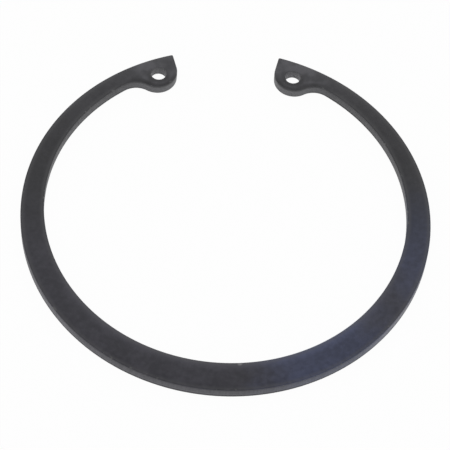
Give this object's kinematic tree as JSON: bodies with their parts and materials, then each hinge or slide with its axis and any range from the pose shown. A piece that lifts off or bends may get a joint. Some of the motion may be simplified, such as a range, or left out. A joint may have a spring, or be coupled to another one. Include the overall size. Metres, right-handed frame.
{
  "type": "circlip retaining ring",
  "caption": "Flat internal retaining ring of spring steel: an eccentric crescent with a gap and two round-nosed lugs, each with a plier hole.",
  "frame": {"origin": "centre of the outer circle, on the face that the ring lies on", "axes": "+Z along the ring's axis, up through its thickness; +Y towards the gap between the lugs; +X across the ring"},
  "size_m": [0.1054, 0.1034, 0.003],
  "materials": {
    "spring_steel": "black phosphated and oiled, matt with a soft sheen, fine even grain"
  },
  "bodies": {
    "root": {"ring": "spring_steel"}
  },
  "joints": []
}
